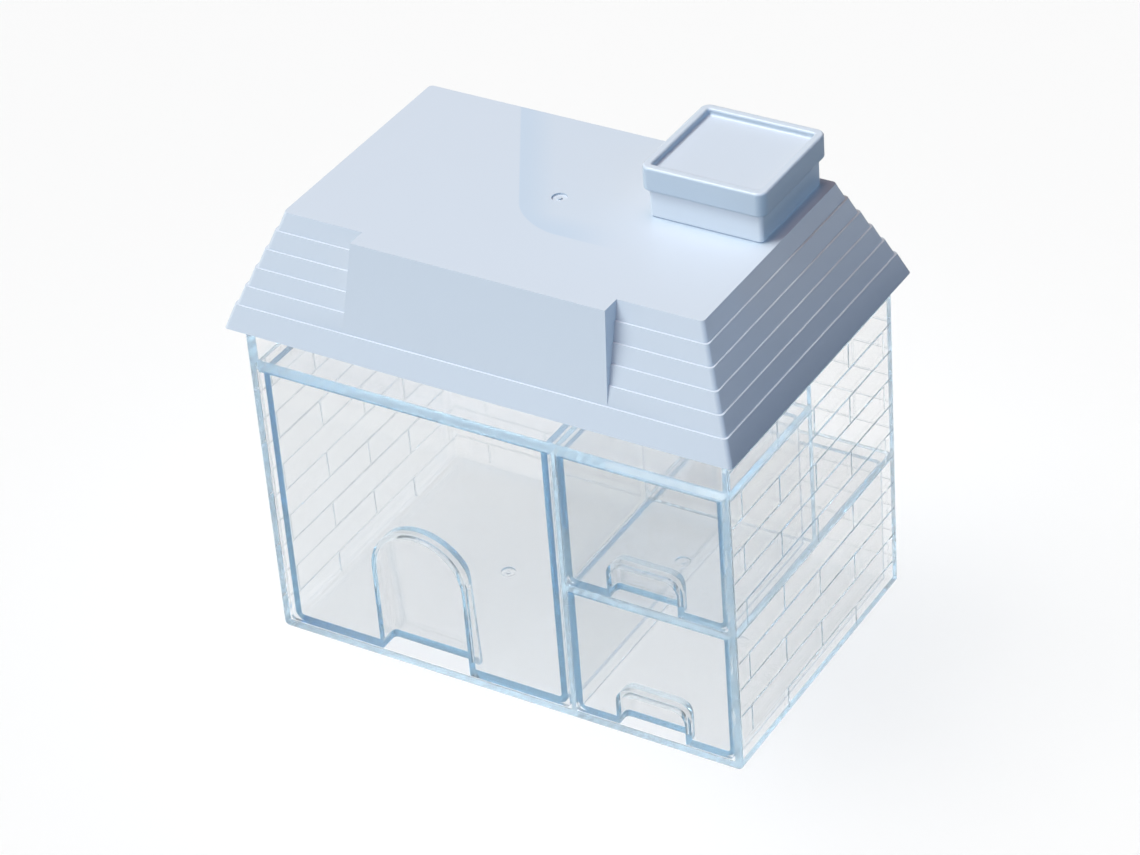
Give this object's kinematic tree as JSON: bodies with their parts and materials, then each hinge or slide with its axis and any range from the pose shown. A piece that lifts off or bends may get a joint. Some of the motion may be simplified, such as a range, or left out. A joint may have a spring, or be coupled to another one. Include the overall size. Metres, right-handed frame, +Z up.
{
  "type": "desk organiser",
  "caption": "House-shaped desk organiser: a clear case with sliding drawers, a tray and a bin under a lift-off roof, and a chimney with a lid.",
  "frame": {"origin": "centre of the footprint, on the table", "axes": "+Z up; +X to the right as seen from the front; the drawers open towards -Y"},
  "size_m": [0.1572, 0.103, 0.1524],
  "materials": {
    "clear_plastic": "polished, clear with a faint blue tint",
    "roof_plastic": "satin"
  },
  "bodies": {
    "case": {"case": "clear_plastic"},
    "drawer_left": {"drawer_left": "clear_plastic"},
    "drawer_right_upper": {"drawer_right_upper": "clear_plastic"},
    "drawer_right_lower": {"drawer_right_lower": "clear_plastic"},
    "roof": {"roof": "roof_plastic", "chimney": "roof_plastic"},
    "chimney_lid": {"chimney_lid": "roof_plastic"}
  },
  "joints": [
    {"name": "drawer_left_slide", "type": "slide", "parent": "case", "child": "drawer_left", "axis": [0, -1, 0], "range_m": [0, 0.075]},
    {"name": "drawer_right_upper_slide", "type": "slide", "parent": "case", "child": "drawer_right_upper", "axis": [0, -1, 0], "range_m": [0, 0.03]},
    {"name": "drawer_right_lower_slide", "type": "slide", "parent": "case", "child": "drawer_right_lower", "axis": [0, -1, 0], "range_m": [0, 0.075]},
    {"name": "roof_lift", "type": "slide", "parent": "case", "child": "roof", "axis": [0, 0, 1], "range_m": [0, 0.06]},
    {"name": "chimney_lid_lift", "type": "slide", "parent": "roof", "child": "chimney_lid", "axis": [0, 0, 1], "range_m": [0, 0.03]}
  ]
}
